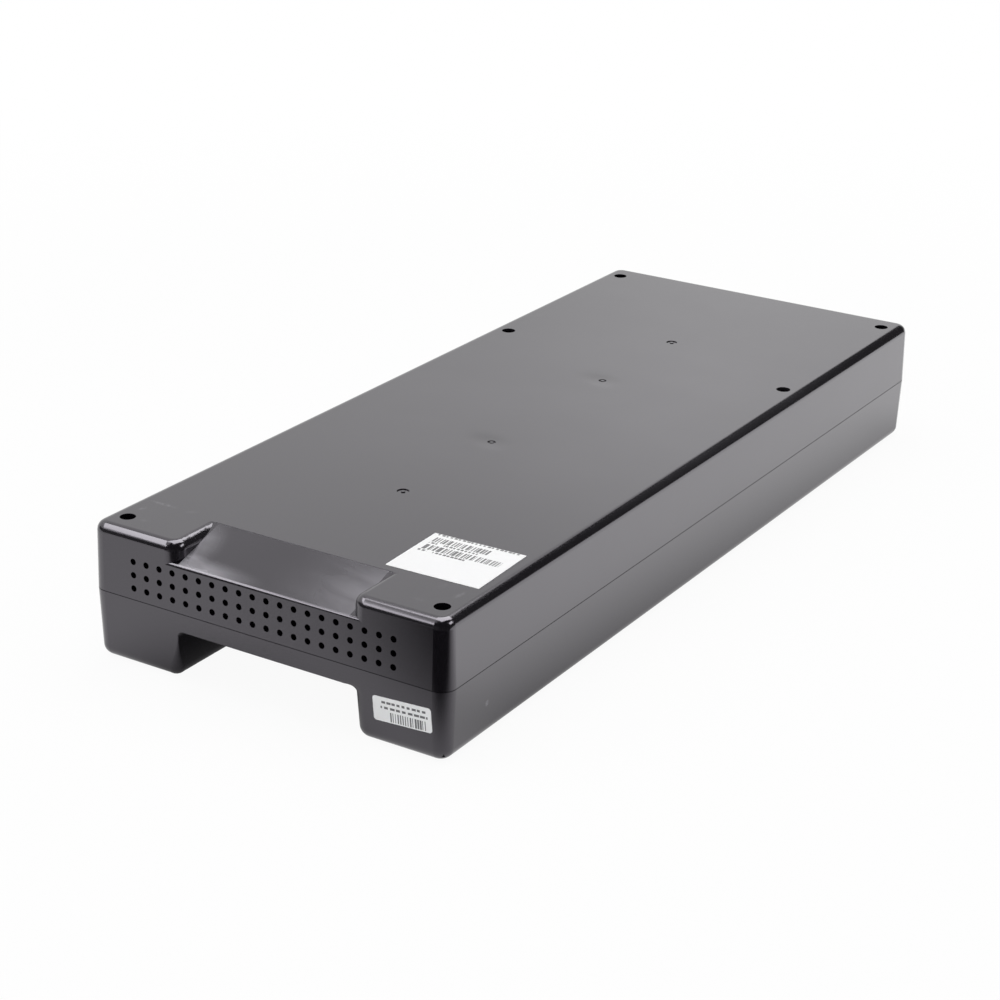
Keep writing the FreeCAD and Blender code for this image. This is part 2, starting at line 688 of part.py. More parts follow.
def tray_inside(body):
    """Hollows the tray over the pocket's roof, behind the pocket and in the two feet."""
    inner_radius = "corner_radius - side_wall"
    half_width = "(%s - side_wall)" % HALF_WIDTH
    half_length = "(%s - side_wall)" % HALF_LENGTH
    step = "(pocket_height + tray_skin)"
    sketch = sketch_on(body, "tray_cavity_outline", "XY_Plane", "parting_height")
    centred_outline(sketch, half_width, half_length, inner_radius)
    extrude(body, "Pocket", "tray_cavity", sketch, "parting_height - %s" % step,
            taper="-tray_draft")

    lean = "(%s)" % wall_at(step, "tray_draft")
    right, back = "(%s - %s)" % (half_width, lean), "(%s - %s)" % (half_length, lean)
    fall = "%s - tray_skin" % step
    behind = "(%s + pocket_depth + %s + side_wall)" % (FRONT, POCKET_FOOT_GROWTH)
    sketch = sketch_on(body, "block_bay_outline", "XY_Plane", step)
    rectangle(sketch, "-" + right, right, behind, back)
    extrude(body, "Pocket", "block_bay", sketch, fall)

    beside = "(pocket_width / 2 + %s + side_wall)" % POCKET_FOOT_GROWTH
    overlap = "(%s + %s)" % (behind, OVERLAP)
    for name, near, far in (("right", beside, right), ("left", "-" + right, "-" + beside)):
        sketch = sketch_on(body, name + "_foot_outline", "XY_Plane", step)
        rectangle(sketch, near, far, "-" + back, overlap)
        extrude(body, "Pocket", name + "_foot", sketch, fall)


def tray_posts(body):
    """Posts that the cover's screws bite into, each tied to the side wall by a gusset."""
    low = "tray_skin - %s" % OVERLAP
    sketch = sketch_on(body, "post_outline", "XY_Plane", low)
    at_screws(sketch, "post_diameter")
    extrude(body, "Pad", "screw_posts", sketch, "joint_height - tray_skin + %s" % OVERLAP)
    sketch = sketch_on(body, "gusset_outline", "XY_Plane", low)
    for y in SCREW_STATIONS:
        front, back = "%s - gusset_thickness / 2" % y, "%s + gusset_thickness / 2" % y
        rectangle(sketch, SCREW_X, IN_SIDE_WALL, front, back)
        rectangle(sketch, "-" + IN_SIDE_WALL, "-" + SCREW_X, front, back)
    extrude(body, "Pad", "post_gussets", sketch, "gusset_height + %s" % OVERLAP)
    sketch = sketch_on(body, "pilot_outline", "XY_Plane", "joint_height")
    at_screws(sketch, "pilot_diameter")
    extrude(body, "Pocket", "pilot_holes", sketch, "pilot_depth")


def tray_ribs(body):
    """Ribs on the floor that hold every block at its sides and behind it."""
    first = "(%s + %s)" % (FRONT, BLOCK_START)
    middle = "(%s + (%s) / 2)" % (first, BLOCK_HEIGHT)
    near = "(%s / 2 + block_joint_clearance)" % BLOCK_WIDTH
    low, height = "tray_skin - %s" % OVERLAP, "rib_height + %s" % OVERLAP
    stack = ("V_Axis", "(block_count - 1) * %s" % BLOCK_PITCH, "block_count")
    sketch = sketch_on(body, "side_rib_outline", "XY_Plane", low)
    front, back = "%s - rib_thickness / 2" % middle, "%s + rib_thickness / 2" % middle
    rectangle(sketch, near, IN_SIDE_WALL, front, back)
    rectangle(sketch, "-" + IN_SIDE_WALL, "-" + near, front, back)
    rib = extrude(body, "Pad", "side_rib", sketch, height)
    repeat(body, "side_ribs", rib, sketch, *stack)
    sketch = sketch_on(body, "cross_rib_outline", "XY_Plane", low)
    front = "%s + %s + block_joint_clearance" % (first, BLOCK_HEIGHT)
    rectangle(sketch, "-cross_rib_length / 2", "cross_rib_length / 2", front, front + " + rib_thickness")
    rib = extrude(body, "Pad", "cross_rib", sketch, height)
    repeat(body, "cross_ribs", rib, sketch, *stack)


def tray_rim(body):
    """Tongue that stands up inside the cover's wall."""
    sketch = sketch_on(body, "tongue_outline", "XY_Plane", "parting_height - %s" % OVERLAP)
    for setback in ("side_wall", "(side_wall / 2 + lap_clearance)"):
        centred_outline(sketch, "(%s - %s)" % (HALF_WIDTH, setback), "(%s - %s)" % (HALF_LENGTH, setback),
                        "corner_radius - " + setback)
    extrude(body, "Pad", "tongue", sketch, "lap_height + %s" % OVERLAP)


def connector_saddle(body):
    """Rest under the output connector."""
    sketch = sketch_on(body, "saddle_outline", "XY_Plane", "tray_skin - %s" % OVERLAP)
    front = "%s - saddle_inset" % REAR
    rectangle(sketch, "-saddle_width / 2", "saddle_width / 2", front, front + " + saddle_thickness")
    extrude(body, "Pad", "connector_saddle", sketch, "%s - tray_skin + %s" % (CONNECTOR_BOTTOM, OVERLAP))


def lower_tray():
    body = doc.addObject("PartDesign::Body", "lower_tray")
    body.BaseFeature = foot_corners(tray_block())
    doc.recompute()
    tray_outside(body)
    tray_inside(body)
    tray_posts(body)
    tray_ribs(body)
    connector_saddle(body)
    tray_rim(body)
    connector_opening(body, "tray_opening", "%s - connector_clearance" % CONNECTOR_BOTTOM,
                      "parting_height + lap_height + %s" % OVERLAP)
    keep(body, "lower_tray")


# ---- screws ----

def cover_screw(name, x, y):
    """Pan head with a cross recess, on a plain core."""
    head = primitive("Cylinder", name + "_head",
                     {"Radius": "screw_head_diameter / 2", "Height": "screw_head_height"},
                     (x, y, WELL_FLOOR))
    core = primitive("Cylinder", name + "_core",
                     {"Radius": "pilot_diameter / 2 - screw_clearance",
                      "Height": "screw_length + " + HALF_HEAD},
                     (x, y, "%s - screw_length" % WELL_FLOOR))
    top = "%s + screw_head_height" % WELL_FLOOR
    low, high = "%s - screw_slot_depth" % top, "%s + %s" % (top, OVERLAP)
    slots = []
    long_way, short_way = "screw_head_diameter / 4", "screw_slot_width / 2"
    for index, (reach_x, reach_y) in enumerate(((long_way, short_way), (short_way, long_way))):
        slots.append(box("%s_slot_%d" % (name, index), "%s - %s" % (x, reach_x),
                         "%s + %s" % (x, reach_x), "%s - %s" % (y, reach_y), "%s + %s" % (y, reach_y),
                         low, high))
    solid = combine("MultiFuse", name + "_blank", head, core)
    recess = combine("MultiFuse", name + "_recess", *slots)
    return combine("Cut", name, solid, recess)


def cover_screws():
    screws = []
    for y in SCREW_STATIONS:
        for side in ("", "-"):
            screws.append(cover_screw("screw_%d" % len(screws), side + SCREW_X, y))
    keep(combine("Compound", "cover_screws", *screws), "cover_screws")


# ---- batteries ----

def block_front(index):
    return "(%s + %s + %d * %s)" % (FRONT, BLOCK_START, index, BLOCK_PITCH)


def lid_face(index):
    return "(%s + %s)" % (block_front(index), BLOCK_HEIGHT)


def terminal_level(index):
    """Every other block is turned over, so that its terminals face the next one's."""
    return "(%s %s tab_offset)" % (BLOCK_AXIS, "+" if index % 2 == 0 else "-")


def battery(index):
    """Sealed lead-acid block on its side: case, wider lid, terminal wells and valve strip."""
    name = "battery_%d" % (index + 1)
    body = new_body(name)
    half_width, half_thick = "(%s / 2)" % BLOCK_WIDTH, "((%s) / 2)" % BLOCK_THICKNESS
    sketch = sketch_on(body, name + "_case_outline", "XY_Plane")
    centred_outline(sketch, "(%s - lid_overhang)" % half_width, "(%s - lid_overhang)" % half_thick,
                    "block_corner_radius")
    extrude(body, "Pad", name + "_case", sketch, "%s - lid_height" % BLOCK_HEIGHT)
    sketch = sketch_on(body, name + "_lid_outline", "XY_Plane", "%s - lid_height" % BLOCK_HEIGHT)
    centred_outline(sketch, half_width, half_thick, "block_corner_radius")
    extrude(body, "Pad", name + "_lid", sketch, "lid_height")
    sketch = sketch_on(body, name + "_well_outline", "XY_Plane", BLOCK_HEIGHT)
    for side in ("", "-"):
        middle = "(%stab_spread / 2)" % side
        rectangle(sketch, "%s - tab_well_side / 2" % middle, "%s + tab_well_side / 2" % middle,
                  "-tab_offset - tab_well_side / 2", "-tab_offset + tab_well_side / 2")
    extrude(body, "Pocket", name + "_wells", sketch, "tab_well_depth")
    sketch = sketch_on(body, name + "_strip_outline", "XY_Plane", BLOCK_HEIGHT)
    rectangle(sketch, "-valve_strip_length / 2", "valve_strip_length / 2",
              "(tab_offset - valve_strip_width) / 2", "(tab_offset + valve_strip_width) / 2")
    extrude(body, "Pad", name + "_valve_strip", sketch, "valve_strip_height")
    lying = Rotation(Vector(1, 0, 0), -90)
    turned = Rotation(Vector(0, 1, 0), 180 * (index % 2))
    body.Placement = Placement(Vector(), turned * lying)
    put(body, "0", block_front(index), BLOCK_AXIS)
    keep(body, name)


def battery_tabs(index):
    """The two flat terminals of a block, standing in the wells of its lid."""
    name = "battery_%d_tabs" % (index + 1)
    lid, level = lid_face(index), terminal_level(index)
    tabs = []
    for side in ("", "-"):
        x = "(%stab_spread / 2)" % side
        blade = box("%s_blade_%d" % (name, len(tabs)), "%s - tab_width / 2" % x, "%s + tab_width / 2" % x,
                    "%s - tab_well_depth" % lid, "%s + tab_height" % lid,
                    "%s - tab_thickness / 2" % level, "%s + tab_thickness / 2" % level)
        hole = primitive("Cylinder", "%s_hole_%d" % (name, len(tabs)),
                         {"Radius": "tab_hole_diameter / 2", "Height": "2 * tab_thickness"},
                         (x, "%s + tab_height / 2" % lid, "%s - tab_thickness" % level))
        tabs.append(combine("Cut", "%s_%d" % (name, len(tabs)), blade, hole))
    keep(combine("Compound", name, *tabs), name)


def block_pads(index):
    """Thin pads under a block and on top of it."""
    half = "(%s / 2 - pad_margin)" % BLOCK_WIDTH
    front, back = "%s + pad_margin" % block_front(index), "%s - pad_margin" % lid_face(index)
    base = box("base_pad_%d" % (index + 1), "-" + half, half, front, back,
               "tray_skin", "tray_skin + base_pad_thickness")
    top = box("top_pad_%d" % (index + 1), "-" + half, half, front, back,
              "%s - top_pad_thickness" % COVER_ROOF, COVER_ROOF)
    doc.recompute()
    keep(base, base.Name)
    keep(top, top.Name)


# ---- wiring ----

def along(item, axis):
    """Turns a cylinder, which stands on Z, to run along another axis."""
    item.Placement = Placement(item.Placement.Base, Rotation(Vector(0, 0, 1), axis))


def sleeve(name, side, index):
    """Insulated receptacle pushed over a tab, its barrel pointing at the side of the case."""
    lid, level = lid_face(index), terminal_level(index)
    x = "(%stab_spread / 2)" % side
    shell = box(name + "_shell", "%s - sleeve_width / 2" % x, "%s + sleeve_width / 2" % x,
                "%s + sleeve_slot_clearance" % lid, "%s + sleeve_slot_clearance + sleeve_depth" % lid,
                "%s - sleeve_thickness / 2" % level, "%s + sleeve_thickness / 2" % level)
    barrel = primitive("Cylinder", name + "_barrel",
                       {"Radius": "barrel_diameter / 2", "Height": "barrel_length + sleeve_width / 4"})
    along(barrel, Vector(-1 if side else 1, 0, 0))
    put(barrel, "%s %s sleeve_width / 4" % (x, side or "+"), barrel_axis(index), level)
    slot = box(name + "_slot", "%s - tab_width / 2 - sleeve_slot_clearance" % x,
               "%s + tab_width / 2 + sleeve_slot_clearance" % x,
               lid, "%s + tab_height + sleeve_slot_clearance" % lid,
               "%s - tab_thickness / 2 - sleeve_slot_clearance" % level,
               "%s + tab_thickness / 2 + sleeve_slot_clearance" % level)
    return combine("Cut", name, combine("MultiFuse", name + "_blank", shell, barrel), slot)


def barrel_axis(index):
    return "(%s + sleeve_slot_clearance + sleeve_depth / 2)" % lid_face(index)


def terminal_sleeves():
    sleeves = []
    for index in range(int(number("block_count"))):
        for side in ("", "-"):
            sleeves.append(sleeve("sleeve_%d" % len(sleeves), side, index))
    keep(combine("Compound", "terminal_sleeves", *sleeves), "terminal_sleeves")


def bent_path(points, radius):
    """Straight runs joined by tangent arcs."""
    pieces, start = [], points[0]
    for before, corner, after in zip(points, points[1:], points[2:]):
        arriving, leaving = corner - before, after - corner
        half_turn = arriving.getAngle(leaving) / 2
        room = 0.45 * min(arriving.Length, leaving.Length)
        setback = min(radius * math.tan(half_turn), room)
        size = setback / math.tan(half_turn)
        arriving.normalize()
        leaving.normalize()
        first, last = corner - arriving * setback, corner + leaving * setback
        inward = (leaving - arriving).normalize()
        middle = corner + inward * (size / math.cos(half_turn) - size)
        pieces += [Part.LineSegment(start, first).toShape(), Part.Arc(first, middle, last).toShape()]
        start = last
    pieces.append(Part.LineSegment(start, points[-1]).toShape())
    return Part.Wire(pieces)


def cable(name, route):
    """Round cable along a route whose points are expressions on the sheet."""
    points = [Vector(*(number(value) for value in point)) for point in route]
    path = bent_path(points, number("cable_bend_radius"))
    radius = number("cable_diameter") / 2
    ring = Part.Wire(Part.makeCircle(radius, points[0], points[1] - points[0]))
    tube = path.makePipeShell([ring], True, False)
    if abs(tube.Volume / (math.pi * radius ** 2 * path.Length) - 1) > TOUCH:
        raise RuntimeError("%s is not a tube of its own section" % name)
    item = doc.addObject("Part::Feature", name)
    item.Shape = tube
    keep(item, name)


def barrel_end(side, index):
    x = "%s(tab_spread / 2 + sleeve_width / 2 + barrel_length)" % side
    return (x, barrel_axis(index), terminal_level(index))


def link_cables():
    """Each link leaves a block's terminal, runs along its corridor and meets the next block's."""
    for index in range(int(number("block_count")) - 1):
        side = "-" if index % 2 == 0 else ""
        start, end = barrel_end(side, index), barrel_end(side, index + 1)
        cable("link_cable_%d" % (index + 1),
              [start, (side + CORRIDOR,) + start[1:], (side + CORRIDOR,) + end[1:], end])


def positive_lead():
    last = int(number("block_count")) - 1
    side = "" if last % 2 else "-"
    start = barrel_end(side, last)
    port = "%s(fuse_holder_offset + fuse_holder_length / 2)" % side
    cable("positive_lead", [start, (side + CORRIDOR,) + start[1:],
                            (side + CORRIDOR, HOLDER_Y, HOLDER_AXIS), (port, HOLDER_Y, HOLDER_AXIS)])


def fuse_lead():
    port, x = "(fuse_holder_offset - fuse_holder_length / 2)", "(socket_spread / 2)"
    crossing = "(%s - wiring_inset)" % REAR
    cable("fuse_lead", [(port, HOLDER_Y, HOLDER_AXIS), ("(%s + %s) / 2" % (port, x), HOLDER_Y, HOLDER_AXIS),
                        (x, crossing, "(%s + %s) / 2" % (HOLDER_AXIS, HOLDER_TOP)),
                        (x, crossing, "parting_height"), (x, CABLE_END, "parting_height")])


def negative_lead():
    """From the first block's terminal, along under the cover's skin, to the connector."""
    start = barrel_end("", 0)
    high = "(%s - high_run_drop)" % COVER_ROOF
    crossing, x = "(%s - wiring_inset)" % REAR, "(-socket_spread / 2)"
    cable("negative_lead", [start, (CORRIDOR,) + start[1:],
                            (CORRIDOR, "%s + %s / 3" % (start[1], BLOCK_PITCH), high),
                            (CORRIDOR, crossing, high), (x, crossing, high),
                            (x, crossing, "parting_height"), (x, CABLE_END, "parting_height")])


def cable_clips():
    """Adhesive clips on the blocks' sides that hold the negative lead up."""
    level, reach = "(%s - high_run_drop)" % COVER_ROOF, "(cable_diameter / 2 + clip_wall)"
    clips = []
    for index in range(1, int(number("block_count"))):
        middle = "(%s + (%s) / 2)" % (block_front(index), BLOCK_HEIGHT)
        front = "%s - clip_length / 2" % middle
        solid = box("clip_block_%d" % index, "%s / 2 - lid_overhang" % BLOCK_WIDTH,
                    "%s + %s" % (CORRIDOR, reach), front, "%s + clip_length / 2" % middle,
                    "%s - %s" % (level, reach), "%s + %s" % (level, reach))
        bore = primitive("Cylinder", "clip_bore_%d" % index,
                         {"Radius": "cable_diameter / 2 + clip_clearance", "Height": "clip_length"})
        along(bore, Vector(0, 1, 0))
        put(bore, CORRIDOR, front, level)
        clips.append(combine("Cut", "clip_%d" % index, solid, bore))
    keep(combine("Compound", "cable_clips", *clips), "cable_clips")


# ---- fuse and output connector ----

def fuse_parts():
    """Blade fuse in its open-topped holder on the tray's floor."""
    x, y = "fuse_holder_offset", HOLDER_Y
    seat = "(%s - fuse_height + fuse_proud)" % HOLDER_TOP
    body = box("fuse_holder_body", "%s - fuse_holder_length / 2" % x, "%s + fuse_holder_length / 2" % x,
               "%s - fuse_holder_width / 2" % y, "%s + fuse_holder_width / 2" % y, "tray_skin", HOLDER_TOP)

    def fuse_block(name, grow, bottom, top):
        reach_x, reach_y = "(fuse_length / 2 + %s)" % grow, "(fuse_width / 2 + %s)" % grow
        return box(name, "%s - %s" % (x, reach_x), "%s + %s" % (x, reach_x),
                   "%s - %s" % (y, reach_y), "%s + %s" % (y, reach_y), bottom, top)

    def blades(name, grow, bottom):
        reach_y = "(tab_thickness / 2 + %s)" % grow
        pair = []
        for side in ("-", "+"):
            outer = "%s %s fuse_length / 2" % (x, side)
            inner = "%s %s fuse_length / 4" % (x, side)
            left, right = (outer, inner) if side == "-" else (inner, outer)
            pair.append(box("%s_%d" % (name, len(pair)), "%s - %s" % (left, grow), "%s + %s" % (right, grow),
                            "%s - %s" % (y, reach_y), "%s + %s" % (y, reach_y), bottom, seat))
        return pair

    low = "%s - tab_height" % seat
    hollow = combine("MultiFuse", "fuse_hollow",
                     fuse_block("fuse_pocket", "fuse_clearance", seat, "%s + %s" % (HOLDER_TOP, OVERLAP)),
                     *blades("blade_slot", "fuse_clearance", "%s - fuse_clearance" % low))
    keep(combine("Cut", "fuse_holder", body, hollow), "fuse_holder")
    head = fuse_block("fuse_head", "0", seat, "%s + fuse_proud" % HOLDER_TOP)
    keep(combine("MultiFuse", "blade_fuse", head, *blades("blade", "0", low)), "blade_fuse")


def output_connector():
    """Two-pole housing held by its flange behind the rear wall, with a contact in each socket."""
    half_width, half_height = "(connector_width / 2)", "(connector_height / 2)"
    inner_end = "(%s - connector_length)" % CONNECTOR_FACE
    low, high = "parting_height - %s" % half_height, "parting_height + %s" % half_height
    body = box("connector_body", "-" + half_width, half_width, inner_end, CONNECTOR_FACE, low, high)
    behind = "(%s - side_wall - %s)" % (REAR, wall_at("%s - flange_reach" % CONNECTOR_BOTTOM, "tray_draft"))
    flange = box("connector_flange",
                 "-(%s + flange_reach)" % half_width, "%s + flange_reach" % half_width,
                 "%s - flange_thickness" % behind, behind,
                 "%s - flange_reach" % low, "%s + flange_reach" % high)
    bottom = "(%s - socket_depth)" % CONNECTOR_FACE
    key = box("connector_key", "-contact_thickness / 2", "contact_thickness / 2",
              "%s - socket_depth / 2" % CONNECTOR_FACE, "%s + %s" % (CONNECTOR_FACE, OVERLAP),
              "parting_height", "%s + %s" % (high, OVERLAP))
    cuts, contacts = [key], []
    for side in ("", "-"):
        x = "(%ssocket_spread / 2)" % side
        cuts.append(box("socket_%d" % len(contacts), "%s - socket_side / 2" % x, "%s + socket_side / 2" % x,
                        bottom, "%s + %s" % (CONNECTOR_FACE, OVERLAP),
                        "parting_height - socket_side / 2", "parting_height + socket_side / 2"))
        bore = primitive("Cylinder", "wire_bore_%d" % len(contacts),
                         {"Radius": "contact_barrel_diameter / 2 + screw_clearance",
                          "Height": "connector_length - socket_depth"})
        along(bore, Vector(0, 1, 0))
        put(bore, x, inner_end, "parting_height")
        cuts.append(bore)
        blade = box("contact_blade_%d" % len(contacts), "%s - contact_thickness / 2" % x,
                    "%s + contact_thickness / 2" % x, bottom, "%s + contact_length" % bottom,
                    "parting_height - contact_height / 2", "parting_height + contact_height / 2")
        barrel = primitive("Cylinder", "contact_barrel_%d" % len(contacts),
                           {"Radius": "contact_barrel_diameter / 2", "Height": "contact_barrel_length"})
        along(barrel, Vector(0, 1, 0))
        put(barrel, x, CABLE_END, "parting_height")
        contacts.append(combine("MultiFuse", "contact_%d" % len(contacts), blade, barrel))
    keep(combine("Cut", "output_connector", combine("MultiFuse", "connector_blank", body, flange),
                 combine("MultiFuse", "connector_cuts", *cuts)), "output_connector")
    keep(combine("Compound", "connector_contacts", *contacts), "connector_contacts")


# ---- labels ----

def label(name, length, width, radius, turn, x, y, z):
    """Thin sticker, drawn flat, then turned to lie on its face and put in its place."""
    body = new_body(name)
    sketch = sketch_on(body, name + "_outline", "XY_Plane")
    centred_outline(sketch, "(%s / 2)" % length, "(%s / 2)" % width, radius)
    extrude(body, "Pad", name + "_sheet", sketch, "label_thickness")
    body.Placement = Placement(Vector(), turn)
    put(body, x, y, z)
    keep(body, name)


def labels():
    label("top_label", "top_label_length", "top_label_width", "top_label_radius",
          Rotation(Vector(0, 0, 1), number("top_label_turn")),
          "case_width / 2 - top_label_inset", "%s + top_label_station" % FRONT, "case_height")
    upright = Rotation(Vector(1, 0, 0), 90 + number("tray_draft"))
    label("front_label", "front_label_length", "front_label_width", "front_label_radius",
          upright * Rotation(Vector(0, 0, 1), number("front_label_turn")),
          "case_width / 2 - front_label_inset",
          "%s + %s" % (FRONT, wall_at("front_label_height", "tray_draft")), "front_label_height")


def write_parts():
    doc.recompute()
    for item in doc.Objects:
        if "Invalid" in item.State or "Error" in item.State:
            raise RuntimeError("%s is %s" % (item.Name, item.State))
    for node in nodes:
        if node.Shape.isNull() or not node.Shape.isValid():
            raise RuntimeError("%s has no valid shape" % node.Label)
    os.makedirs("parts", exist_ok=True)
    for node in nodes:
        node.Shape.exportStep("parts/%s.step" % node.Label)
        print("%-22s %2d solids %10.1f mm3" % (node.Label, len(node.Shape.Solids), node.Shape.Volume))


fill_sheet()
upper_cover()
lower_tray()
cover_screws()
for block in range(int(number("block_count"))):
    battery(block)
    battery_tabs(block)
    block_pads(block)
terminal_sleeves()
link_cables()
positive_lead()
fuse_lead()
negative_lead()
cable_clips()
fuse_parts()
output_connector()
labels()
write_parts()
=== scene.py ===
import math

import bpy
from mathutils import Matrix, Vector


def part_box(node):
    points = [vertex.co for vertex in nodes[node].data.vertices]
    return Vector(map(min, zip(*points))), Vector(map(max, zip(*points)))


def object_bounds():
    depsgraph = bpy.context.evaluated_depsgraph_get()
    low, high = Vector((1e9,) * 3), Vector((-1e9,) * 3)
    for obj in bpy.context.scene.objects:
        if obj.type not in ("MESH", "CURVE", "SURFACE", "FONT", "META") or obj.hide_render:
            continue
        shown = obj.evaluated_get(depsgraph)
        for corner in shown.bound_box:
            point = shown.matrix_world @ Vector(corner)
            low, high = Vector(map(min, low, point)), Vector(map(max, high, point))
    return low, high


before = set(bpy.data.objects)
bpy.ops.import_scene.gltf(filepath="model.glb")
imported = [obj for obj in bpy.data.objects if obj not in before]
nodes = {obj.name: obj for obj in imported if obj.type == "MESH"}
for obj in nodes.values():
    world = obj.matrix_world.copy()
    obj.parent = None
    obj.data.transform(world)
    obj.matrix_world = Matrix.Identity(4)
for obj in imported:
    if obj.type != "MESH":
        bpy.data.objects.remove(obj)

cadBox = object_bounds()
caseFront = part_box("upper_cover")[0][1]
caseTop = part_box("upper_cover")[1][2]
mm = 0.001
noiseRange = (0.3, 0.7)  # where most of a noise pattern's values lie


# small helpers for materials

def newMaterial(name):
    material = bpy.data.materials.new(name)
    material.use_nodes = True
    tree = material.node_tree
    tree.nodes.clear()
    return material, tree


def addNode(tree, kind, values=None, **settings):
    # values are socket values or links from other nodes' outputs, by socket name or number
    node = tree.nodes.new(kind)
    for key, value in settings.items():
        setattr(node, key, value)
    for key, value in (values or {}).items():
        if isinstance(value, bpy.types.NodeSocket):
            tree.links.new(value, node.inputs[key])
        else:
            node.inputs[key].default_value = value
    return node


def doMath(tree, operation, *values):
    node = addNode(tree, "ShaderNodeMath", dict(enumerate(values)), operation=operation)
    return node.outputs[0]


def mixColour(tree, amount, first, second):
    node = addNode(tree, "ShaderNodeMix", data_type="RGBA")
    for index, value in ((0, amount), (6, first), (7, second)):
        if isinstance(value, bpy.types.NodeSocket):
            tree.links.new(value, node.inputs[index])
        else:
            node.inputs[index].default_value = value
    return node.outputs[2]


def placed(tree, centre=(0, 0, 0), turn=(0, 0, 0), scale=(1, 1, 1)):
    # object coordinates moved so that a pattern starts at a point of the case
    coordinates = addNode(tree, "ShaderNodeTexCoord")
    mapping = addNode(tree, "ShaderNodeMapping",
                      {"Vector": coordinates.outputs["Object"], "Location": centre, "Rotation": turn,
                       "Scale": scale}, vector_type="TEXTURE")
    return mapping.outputs[0]


def noise(tree, vector, scale, detail=2.0, roughness=0.5, distortion=0.0):
    node = addNode(tree, "ShaderNodeTexNoise",
                   {"Vector": vector, "Scale": scale, "Detail": detail, "Roughness": roughness,
                    "Distortion": distortion})
    return node.outputs[0]


def ramp(tree, value, low, high, newLow=0.0, newHigh=1.0, smooth=True):
    node = addNode(tree, "ShaderNodeMapRange",
                   {"Value": value, "From Min": low, "From Max": high, "To Min": newLow, "To Max": newHigh},
                   interpolation_type="SMOOTHSTEP" if smooth else "LINEAR")
    return node.outputs[0]


def bump(tree, height, depth, under=None):
    values = {"Height": height, "Distance": depth, "Strength": 1.0}
    if under:
        values["Normal"] = under
    return addNode(tree, "ShaderNodeBump", values).outputs[0]


def finishSurface(tree, values):
    shader = addNode(tree, "ShaderNodeBsdfPrincipled", values)
    addNode(tree, "ShaderNodeOutputMaterial", {"Surface": shader.outputs[0]})


def distanceFrom(tree, centre, turn=(0, 0, 0), scale=(1, 1, 1)):
    # in units of the scale given, so that 1 is the edge of an ellipsoid with those half sizes
    away = placed(tree, centre, turn, scale)
    return addNode(tree, "ShaderNodeVectorMath", {0: away}, operation="LENGTH").outputs["Value"]


def millimetres(values):
    return tuple(value * mm for value in values)


def fromFront(place):
    # a place in mm: to the right of the case's middle, back from its front and up from its top
    right, back, up = millimetres(place)
    return (right, caseFront + back, caseTop + up)


def addUp(tree, layers):
    total = layers[0]
    for layer in layers[1:]:
        total = doMath(tree, "ADD", total, layer)
    return total


def dress(node, material):
    piece = nodes[node]
    piece.data.materials.clear()
    piece.data.materials.append(material)


# moulded case: places and sizes of its marks are in mm, and fromFront puts them on the case

caseFinish = {
    "colour": (0.003, 0.0022, 0.004, 1),
    "filmAndSheenColour": (0.25, 0.245, 0.265, 1),  # dust and polish left on the plastic, and painted sheen and shade on its top and slope
    "roughness": (0.12, 0.18),
    "roughnessScale": 22.0,
    "filmRoughness": 0.16,  # added where the film is thickest
    "ior": 1.82,
    "glossTint": (0.955, 0.91, 1.0, 1),
    "waveSize": 28 * mm,  # slow waviness of a moulded wall
    "waveDepth": 0.035 * mm,
    "grainSize": 0.5 * mm,
    "grainDepth": 0.0012 * mm,
    "sinkPlaces": ((0, 201.6, 0), (0, 320.4, 0)),
    "sinkShape": (1.5, 1.0, 1.0),  # wider than long
    "sinkRadius": 11 * mm,
    "sinkDepth": 0.10 * mm,
    # painted shade and highlight beside each sink mark, where its dent would darken and lighten the gloss:
    # offset, half sizes, and how much more or less there is
    "sinkShadeAndHighlight": (((-7, 5), (17, 11, 5), -0.09), ((4, -8), (13, 6, 5), 0.06)),
    "slopeHalfWidth": 50.0,
    "slopeRear": 33.2,  # where it meets the top
    "slopeRise": 0.3242,
    "slopeReach": 0.3,  # how near its plane a point counts as on it
    # where the film lies thickest on the slope, as smears on the left and a painted sheen over the right:
    # middle and half sizes of each patch, and how much
    "slopeSmearAndSheenPatches": (
        ((-50, 3.5, -9), (52, 8.5, 14), 0.95),
        ((-52, 15, -4), (18, 24, 14), 0.6),
        # painted sheen: this broad patch lightens the slope's right part as reflected light would
        ((80, 15, -6), (85, 60, 26), 0.42),
    ),
    # painted sheen with dust clouds: lighter over the middle and back of the top
    "topSheenAndDustPatch": ((15, 281, 0), (190, 240, 5), 0.11),
    "patchCore": 0.1,  # share of a patch's half size that has its full amount
    "streakSize": (45 * mm, 11 * mm, 30 * mm),
    "streakTurn": (0, 0, -0.1),
    "streakShare": (0.6, 1.25),  # least and most of the film in the streaks on the slope
    "cloudPlace": (31 * mm, 12 * mm, 0),
    "cloudScale": 14.0,
    "cloudShare": (0.8, 1.15),  # and in the clouds on the top
    "crestWidth": 0.45,
    "crestEnd": 2.0,  # how far it runs past the slope on each side
    "crestRoughness": 0.8,
    # light scuffs: middle, half length and half width, turn in degrees and strength
    "scuffs": (
        ((-87, 36.6, 0), 11.0, 1.8, -1, 0.26),
        ((-92.4, 26.5, 0), 3.6, 1.6, 78, 0.2),
        ((-81.5, 15.7, 0), 3.8, 1.4, 22, 0.18),
        ((-69.7, 36.7, 0), 5.0, 1.5, 35, 0.2),
        ((78.8, 14.9, 0), 5.0, 1.5, -6, 0.18),
        ((79.4, 33.8, 0), 3.6, 1.6, 70, 0.2),
        ((91.5, 29.4, 0), 6.6, 1.7, 84, 0.2),
        ((103.3, 35.5, -54.2), 0.8, 2.2, 0, 0.5),
    ),
    "scuffCore": 0.2,
    "scuffScale": 420.0,  # of the ragged breaks in them
    "scuffBreaks": (0.35, 0.6),
}


